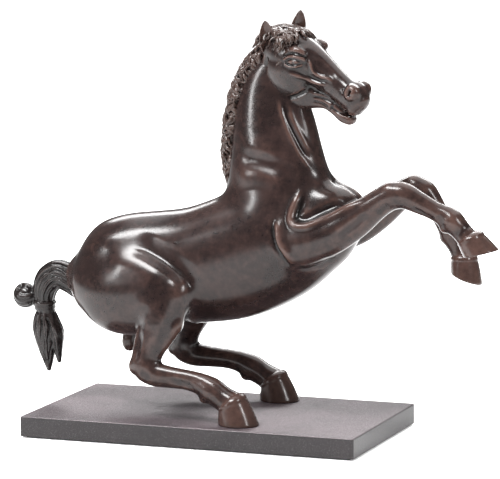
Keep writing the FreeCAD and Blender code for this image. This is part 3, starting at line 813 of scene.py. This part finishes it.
def crest_line():
    """Points of the neck's crest from the withers to the poll."""
    rows = [
        (13.0, 123), (10.6, 131), (9.2, 141), (8.4, 150), (8.6, 160), (9.8, 170), (12.2, 180),
        (16.0, 190), (21.0, 198.5), (26.5, 205.5), (31.5, 211),
    ]
    return smooth_rows([(x, 0, h, 1, 1) for x, h in rows], 1.0)[:, :3]


RIDGE_DEPTH, RIDGE_WIDTH = 4.7, 4.1
MANE_LOCKS, FORELOCK_LOCKS, SIDE_LOCKS = 300, 130, 22


def build_mane():
    """A hogged mane of short wavy locks that lie over a ridge along the crest."""
    rng = random.Random(4)
    bm = bmesh.new()
    line = crest_line()
    ways = np.gradient(line, axis=0)
    count = len(line)

    def fullness(i):
        return 0.55 + 0.45 * min(1.0, i / (count * 0.16)) - 0.12 * max(0.0, i / count - 0.8) * 5

    def on_ridge(i, turn, lift):
        """A point over the ridge: station along the crest, angle round it, height off it."""
        i = min(max(i, 0.0), count - 1.001)
        low, share = int(i), i - int(i)
        place = line[low] * (1 - share) + line[low + 1] * share
        way = unit(ways[low])
        out = unit(np.array((-way[2], 0, way[0])))
        full = fullness(i)
        aside = np.array((0, math.sin(turn) * (RIDGE_WIDTH * full + lift), 0))
        return place + out * (math.cos(turn) * (RIDGE_DEPTH * full + lift)) + aside

    ridge = [(*line[i], RIDGE_DEPTH * fullness(i), RIDGE_WIDTH * fullness(i)) for i in range(3, count, 4)]
    skin(bm, ridge, 2.0, 20)
    for n in range(MANE_LOCKS):
        i = rng.uniform(0.03, 1.04) * (count - 1)
        turn = rng.uniform(-1.75, 1.75)
        size = rng.uniform(0.8, 1.2) * (0.75 + 0.25 * fullness(i))
        length = rng.uniform(5.0, 9.0) * size
        wave, phase = rng.uniform(0.18, 0.5), rng.uniform(0, 6.28)
        drift = rng.uniform(-0.35, 0.35)
        flick = rng.uniform(-0.2, 1.5)
        path = []
        lifts = (-0.9, 0.7, 1.15, 1.1, 0.8 + 0.3 * flick, 0.1 + flick)
        for t, lift in zip((0, 0.2, 0.4, 0.6, 0.8, 1.0), lifts):
            swing = turn + drift * t + wave * (math.sin(5.2 * t + phase) - math.sin(phase))
            path.append(on_ridge(i - length * t, swing, lift * size))
        lock(bm, path, rng.uniform(1.2, 1.65) * size, rng.uniform(0.9, 1.15) * size,
             (-math.cos(turn), math.sin(turn), 0.1), rng.uniform(0, 6))
    return new_object("mane", bm)


def build_forelock():
    """The curls between the ears that fall over the brow, in the head's own frame."""
    rng = random.Random(21)
    bm = bmesh.new()

    def brow(u, v):
        """Height of the brow's surface."""
        return 7.2 - 0.0135 * (u - 25) ** 2 - 0.034 * v * v

    for n in range(FORELOCK_LOCKS):
        start = rng.uniform(0, 1)
        spread = rng.uniform(-1, 1)
        u, v = -2 + 18 * start, spread * (8.5 + 1.0 * start)
        size = rng.uniform(0.8, 1.2)
        heading = spread * 0.75 + rng.uniform(-0.5, 0.5)
        bend = rng.choice((-1, 1)) * rng.uniform(18, 38)
        ahead = (math.cos(heading), math.sin(heading), 0)
        bends = (bend, bend, -bend, -bend * 1.2, bend)
        flat = curl((u, v, 0), ahead, (0, 0, 1), rng.uniform(5.5, 9.5) * size, bends)
        path = []
        for point, lift in zip(flat, (-1.2, 1.1, 1.7, 1.5, 0.9, 0.1)):
            raised = 0.7 if start < 0.5 else 0.2
            path.append(np.array((point[0], point[1], brow(point[0], point[1]) + lift * size + raised)))
        lock(bm, path, rng.uniform(1.25, 1.65) * size, 1.1 * size, (0, 0, 1), rng.uniform(0, 6))
    # locks that hang behind the near ear's root and in front of it
    for side in (-1, 1):
        for n in range(SIDE_LOCKS):
            u = rng.uniform(9.5, 18)
            size = rng.uniform(0.8, 1.15)
            root = np.array((u, side * rng.uniform(9.2, 10.6), rng.uniform(-6, 1.5) + 1.5))
            ahead = (rng.uniform(-0.1, 0.6), side * rng.uniform(0.1, 0.5), -1)
            bend = rng.choice((-1, 1)) * rng.uniform(15, 32)
            bends = (bend, bend * 0.5, -bend, -bend, bend * 0.5)
            path = curl(root, ahead, (0, 1, 0), rng.uniform(5, 8) * size, bends)
            lock(bm, path, 1.4 * size, 1.05 * size, (0, side, 0), rng.uniform(0, 6))
    return new_object("forelock", bm)


# ---- Shader helpers ----
class Socket:
    """A node output that can be used in sums."""

    def __init__(self, finish, output):
        self.finish = finish
        self.output = output

    def _sum(self, kind, other):
        return self.finish.add("ShaderNodeMath", {"operation": kind}, {0: self, 1: other})

    def __add__(self, other):
        return self._sum("ADD", other)

    def __sub__(self, other):
        return self._sum("SUBTRACT", other)

    def __mul__(self, other):
        return self._sum("MULTIPLY", other)


class Finish:
    """One material while it is being mixed."""

    def __init__(self, name):
        self.material = bpy.data.materials.new(name)
        self.material.use_nodes = True
        self.tree = self.material.node_tree
        self.tree.nodes.clear()
        self.place = self.add("ShaderNodeTexCoord", {}, {}, "Object")

    def add(self, kind, settings, inputs, output=0):
        node = self.tree.nodes.new(kind)
        for key, value in settings.items():
            setattr(node, key, value)
        for key, value in inputs.items():
            if isinstance(value, Socket):
                self.tree.links.new(value.output, node.inputs[key])
            else:
                node.inputs[key].default_value = value
        return None if output is None else Socket(self, node.outputs[output])

    def noise(self, scale, detail, rough):
        inputs = {"Vector": self.place, "Scale": scale, "Detail": detail, "Roughness": rough}
        return self.add("ShaderNodeTexNoise", {}, inputs, "Fac")

    def band(self, value, low, high, to_low=0.0, to_high=1.0):
        return self.add("ShaderNodeMapRange", {"interpolation_type": "SMOOTHSTEP"}, {
            "Value": value, "From Min": low, "From Max": high, "To Min": to_low, "To Max": to_high,
        })

    def blend(self, share, first, second):
        first, second = (v if isinstance(v, Socket) else (*v, 1.0) for v in (first, second))
        return self.add("ShaderNodeMix", {"data_type": "RGBA"}, {0: share, 6: first, 7: second}, 2)

    def bump(self, height, distance, strength, under=None):
        inputs = {"Height": height, "Distance": distance, "Strength": strength}
        if under is not None:
            inputs["Normal"] = under
        return self.add("ShaderNodeBump", {}, inputs)

    def surface(self, **inputs):
        shader = self.add("ShaderNodeBsdfPrincipled", {}, {k.replace("_", " "): v for k, v in inputs.items()})
        self.add("ShaderNodeOutputMaterial", {}, {"Surface": shader}, None)
        return self.material


def figure_bronze(name, dark, warm, worn, rough_low, rough_high):
    """Patinated bronze: dark in the hollows, rubbed to brown on what a hand or cloth reaches."""
    f = Finish(name)
    cloud = f.noise(38.0, 5.0, 0.6)
    mottle = f.noise(260.0, 4.0, 0.65)
    speck = f.noise(1500.0, 3.0, 0.6)
    rubbed = f.add("ShaderNodeAttribute", {"attribute_name": "rubbed"}, {}, "Fac")
    body = f.blend(f.band(cloud * 0.6 + mottle * 0.4, 0.38, 0.66), dark, warm)
    lift = f.band(rubbed + (mottle - 0.5) * 0.35, 0.5, 0.95)
    colour = f.blend(lift, body, worn)
    hollow = f.band(rubbed, 0.12, 0.5)
    colour = f.blend(hollow, tuple(c * 0.35 for c in dark), colour)
    rough = f.band(cloud * 0.5 + speck * 0.5, 0.35, 0.65, rough_low, rough_high)
    grain = f.bump(speck, 0.00005, 0.15, f.bump(mottle, 0.0002, 0.12, f.bump(cloud, 0.0006, 0.1)))
    return f.surface(
        Base_Color=colour, Metallic=0.0, Roughness=rough, Normal=grain,
        Specular_IOR_Level=0.27,
    )


def plinth_bronze():
    """Sand-cast plate: a dull grey-brown grain with fine bright points, and painted shade that darkens its
    sides below the top face.
    """
    f = Finish("plinth_bronze_look")
    cloud = f.noise(30.0, 5.0, 0.6)
    grain = f.noise(1400.0, 3.0, 0.7)
    fleck = f.noise(2600.0, 2.0, 0.5)
    body = f.blend(f.band(cloud, 0.35, 0.68), (0.031, 0.0225, 0.026), (0.062, 0.0455, 0.0515))
    points = f.band(fleck, 0.58, 0.68)
    height = f.add("ShaderNodeSeparateXYZ", {}, {"Vector": f.place}, "Z")
    colour = f.blend(points * 0.8, body, (0.34, 0.30, 0.315))
    colour = f.blend(f.band(grain, 0.26, 0.40, 1.0, 0.0) * 0.35, colour, (0.014, 0.011, 0.012))
    # painted shade: every face below the top is blended towards near black, standing in for the shade on the
    # plinth's sides
    colour = f.blend(f.band(height, 0.0118, 0.0124, 0.85, 0.0), colour, (0.006, 0.005, 0.0055))
    rough = f.band(grain, 0.3, 0.7, 0.34, 0.5)
    return f.surface(
        Base_Color=colour, Metallic=0.15, Roughness=rough,
        Normal=f.bump(grain, 0.0003, 0.35, f.bump(cloud, 0.001, 0.15)),
        Specular_IOR_Level=0.45,
    )


def plain(name, colour, rough, metallic, scale=500.0):
    """A turned, plated or woven surface with a fine grain."""
    f = Finish(name)
    grain = f.noise(scale, 4.0, 0.6)
    tone = f.blend(f.band(grain, 0.3, 0.7), tuple(c * 0.75 for c in colour), colour)
    return f.surface(
        Base_Color=tone, Metallic=metallic, Roughness=f.band(grain, 0.3, 0.7, rough * 0.85, rough * 1.15),
        Normal=f.bump(grain, 0.0002, 0.3),
    )


LOOKS = {
    "figure_bronze": figure_bronze(
        "figure_bronze_look", (0.0098, 0.0060, 0.0057), (0.023, 0.0130, 0.0116), (0.054, 0.030, 0.0245),
        0.17, 0.25,
    ),
    "hair_bronze": figure_bronze(
        "hair_bronze_look", (0.0052, 0.0033, 0.0031), (0.011, 0.0068, 0.0062), (0.040, 0.0255, 0.0215),
        0.16, 0.25,
    ),
    "tail_bronze": figure_bronze(
        "tail_bronze_look", (0.006, 0.0046, 0.0046), (0.012, 0.0085, 0.0082), (0.05, 0.038, 0.036),
        0.18, 0.28,
    ),
    "plinth_bronze": plinth_bronze(),
    "raw_bronze": plain("raw_bronze_look", (0.55, 0.36, 0.18), 0.35, 1.0),
    "fastening_steel": plain("fastening_steel_look", (0.6, 0.6, 0.62), 0.3, 1.0),
    "baize": plain("baize_look", (0.02, 0.02, 0.021), 0.95, 0.0, 1800.0),
}
LOOKS["plug_bronze"] = LOOKS["figure_bronze"]
for entry in frame["record"]["subparts"]:
    node = frame["nodes"][entry["node"]]
    for slot in node.material_slots:
        slot.material = LOOKS[entry["material_slot"]]


# ---- Finishing a piece ----
def finished(made, slot, *nodes):
    """Turns a clay object into a piece of the statue, in the frame's metres."""
    mesh = made.data
    mesh.transform(Matrix.Translation((0, 0, PLINTH_TOP * MM)) @ Matrix.Scale(MM, 4))
    mesh.polygons.foreach_set("use_smooth", [True] * len(mesh.polygons))
    mesh.materials.clear()
    mesh.materials.append(LOOKS[slot])
    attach(made, ROOT)
    if nodes:
        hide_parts(*nodes)
    return made


def store_wear(mesh, value):
    """Keeps the wear of the patina, one value or one for each point, where the look reads it."""
    layer = mesh.attributes.new("rubbed", "FLOAT", "POINT")
    layer.data.foreach_set("value", np.zeros(len(mesh.vertices), dtype=np.float32) + value)


def mark_relief(clay, reach=14, depth=0.55, least=0.0):
    """Stores how proud each point stands of its surroundings, as wear of the patina."""
    calm = clay.co.copy()
    for _ in range(reach):
        calm += (clay.around(calm) - calm) * 0.6
    proud = np.einsum("ij,ij->i", clay.co - calm, clay.no)
    value = np.clip(0.5 + proud / depth * 0.5, least, 1).astype(np.float32)
    store_wear(clay.mesh, value)


# ---- Studio ----
CAMERA_TURN = 19.83
CAMERA_TILT = 7.78
CAMERA_DISTANCE = 1.958
CAMERA_AIM = (0.0167, 0.0060, 0.1114)
CAMERA_LENS = 246.5
WORLD_STRENGTH = 0.2
FLOOR_GLOW = 0.22
SOFT_BOXES = [
    # name, place, aimed at, size, power
    ("ceiling", (0.0, 0.9, 2.2), (0.0, 0.1, 0.0), (2.6, 2.6), 70.0),
    ("top_box", (-0.30, -0.45, 1.05), (0.0, 0.0, 0.12), (0.7, 0.26), 28.0),
    ("left_window", (-1.05, -0.95, 0.62), (0.0, 0.0, 0.12), (0.14, 0.56), 10.0),
    ("right_window", (1.05, -0.45, 0.75), (0.0, 0.0, 0.12), (0.14, 0.5), 9.0),
    ("back_strip", (-0.2, 0.9, 0.8), (0.0, 0.0, 0.14), (1.2, 0.25), 14.0),
]


def studio():
    """Pale floor, soft boxes and the camera."""
    bm = bmesh.new()
    bmesh.ops.create_grid(bm, x_segments=1, y_segments=1, size=9.0)
    floor = meshed("floor", bm)
    f = Finish("floor_paper")
    away = f.add("ShaderNodeVectorMath", {"operation": "LENGTH"}, {"Vector": f.place}, "Value")
    depth = f.add("ShaderNodeSeparateXYZ", {}, {"Vector": f.place}, "Y")
    lit = f.band(away, 0.22, 0.9) * f.band(depth, -1.2, -0.3, 0.3, 1.0)
    glow = f.blend(lit, (FLOOR_GLOW,) * 3, (1.0, 1.0, 1.0))
    floor.data.materials.append(f.surface(
        Base_Color=(0.9, 0.9, 0.9, 1.0), Roughness=0.9, Specular_IOR_Level=0.1,
        Emission_Color=glow, Emission_Strength=1.0,
    ))

    world = bpy.data.worlds.new("studio_air")
    world.use_nodes = True
    air = world.node_tree.nodes["Background"].inputs
    air["Color"].default_value = (1.0, 1.0, 1.0, 1.0)
    air["Strength"].default_value = WORLD_STRENGTH
    scene = bpy.context.scene
    scene.world = world

    for name, place, aim, size, power in SOFT_BOXES:
        light = bpy.data.lights.new(name, "AREA")
        light.shape = "RECTANGLE"
        light.size, light.size_y = size
        light.energy = power
        lamp = placed(name, light)
        lamp.location = place
        lamp.rotation_euler = (Vector(aim) - Vector(place)).to_track_quat("-Z", "Y").to_euler()

    camera = bpy.data.cameras.new("camera")
    camera.sensor_width = 36.0
    camera.lens = CAMERA_LENS
    camera.clip_end = 50.0
    seen = placed("camera", camera)
    turn, tilt = math.radians(CAMERA_TURN), math.radians(CAMERA_TILT)
    back = Vector((math.sin(turn) * math.cos(tilt), -math.cos(turn) * math.cos(tilt), math.sin(tilt)))
    seen.location = Vector(CAMERA_AIM) + back * CAMERA_DISTANCE
    seen.rotation_euler = back.to_track_quat("Z", "Y").to_euler()
    scene.camera = seen
    scene.view_settings.view_transform = "Standard"
    scene.view_settings.exposure = 0.0


# ---- The statue ----
def joined(name, parts):
    """Several objects as one."""
    bm = bmesh.new()
    for part in parts:
        bm.from_mesh(part.data)
        bpy.data.objects.remove(part)
    return meshed(name, bm)


JOINTS = {
    # centre, direction away from the body, reach of the cut
    "neck_bronze": ((36.1, 0, 138), (-1.3, 0, 12), 48),
    "right_hind_leg": ((-29.5, -34, 37), (-5.5, -2.7, -17), 15),
    "left_hind_leg": ((-33.0, 34, 37), (-5.5, 2.7, -17), 15),
    "right_foreleg": ((87, -22.2, 115), (22, -0.5, 15), 16),
    "left_foreleg": ((87, 22.2, 114.8), (22, 0.5, 15.2), 16),
}
BODY_POINTS = 40000     # only the body has more points than this


def parted(whole):
    """Saws the figure at its joints and closes every cut; returns the pieces by name."""
    bm = bmesh.new()
    bm.from_mesh(whole.data)
    for centre, way, reach in JOINTS.values():
        centre, way = Vector(centre), Vector(way).normalized()
        faces = [
            face for face in bm.faces
            if (face.verts[0].co - centre).length < reach and abs((face.verts[0].co - centre).dot(way)) < 2.5
        ]
        geom = faces + list({e for face in faces for e in face.edges})
        geom += list({v for face in faces for v in face.verts})
        cut = bmesh.ops.bisect_plane(bm, geom=geom, dist=1e-5, plane_co=centre, plane_no=way)["geom_cut"]
        bmesh.ops.split_edges(bm, edges=[item for item in cut if isinstance(item, bmesh.types.BMEdge)])
    rims = [edge for edge in bm.edges if edge.is_boundary]
    bmesh.ops.holes_fill(bm, edges=rims, sides=0)
    for edge in rims:
        edge.smooth = False
    bm.verts.index_update()
    label = np.full(len(bm.verts), -1)
    groups = []
    for seed in bm.verts:
        if label[seed.index] >= 0:
            continue
        stack, members = [seed], []
        label[seed.index] = len(groups)
        while stack:
            vert = stack.pop()
            members.append(vert.index)
            for edge in vert.link_edges:
                other = edge.other_vert(vert)
                if label[other.index] < 0:
                    label[other.index] = len(groups)
                    stack.append(other)
        groups.append(members)
    bm.verts.ensure_lookup_table()
    names = []
    beyond = {key: Vector(at) + Vector(way).normalized() * 22 for key, (at, way, _) in JOINTS.items()}
    for members in groups:
        sample = members[:: max(1, len(members) // 400)]
        middle = sum((bm.verts[i].co for i in sample), Vector()) / len(sample)
        name = "body_bronze"
        if len(members) < BODY_POINTS:
            name = min(beyond, key=lambda key: (beyond[key] - middle).length)
        names.append(name)
    pieces = {}
    for name in dict.fromkeys(names):
        part = bm.copy()
        part.verts.ensure_lookup_table()
        keep = {i for i, owner in enumerate(names) if owner == name}
        bmesh.ops.delete(part, geom=[v for v in part.verts if int(label[v.index]) not in keep], context="VERTS")
        pieces[name] = meshed(name, part)
    bm.free()
    bpy.data.objects.remove(whole)
    return pieces


def shade_hair(made):
    """Wear on the ridges of the locks, read from the shape itself."""
    mark_relief(Clay(made), 3, 0.35)


PLUG_PLACES = [(-17, 99), (8, 106)]


def plug_discs(points):
    """The filed-off core-pin plugs, a hair proud of each flank."""
    bm = bmesh.new()
    for x, h in PLUG_PLACES:
        for side in (-1, 1):
            flank = points[points[:, 1] * side > 10]
            near = flank[np.argmin((flank[:, 0] - x) ** 2 + (flank[:, 2] - h) ** 2)]
            inward = unit(np.array((0, -side, -0.75)))
            lump(bm, tuple(near + inward * 0.32), (1.9, 0.55, 1.5), (side * -37, 0, 0))
    made = new_object("plug_bronze", bm)
    store_wear(made.data, PLUG_WEAR)
    return made


def assemble():
    figure = build_figure()
    mark_relief(figure)
    pieces = parted(figure.made)
    for leg, numbers in HOOVES.items():
        made = new_object(leg + "_hoof", hoof(*numbers))
        store_wear(made.data, HOOF_WEAR)
        pieces[leg] = joined(leg + "_bronze", [pieces[leg], made])
    for name, piece in pieces.items():
        finished(piece, "figure_bronze", name.removesuffix("_bronze") + "_casting")
    finished(plug_discs(figure.co), "plug_bronze", "core_pin_plugs")
    head, ears = build_head()
    head_piece = joined("head_bronze", [head.made, ears.made])
    head_piece.data.transform(head_matrix())
    finished(head_piece, "figure_bronze", "head_casting")
    tail = build_tail()
    finished(tail.made, "tail_bronze", "tail_casting")
    mane = build_mane()
    shade_hair(mane)
    finished(mane, "hair_bronze", "mane_strip")
    forelock = build_forelock()
    shade_hair(forelock)
    forelock.data.transform(head_matrix())
    finished(forelock, "hair_bronze")


studio()
assemble()
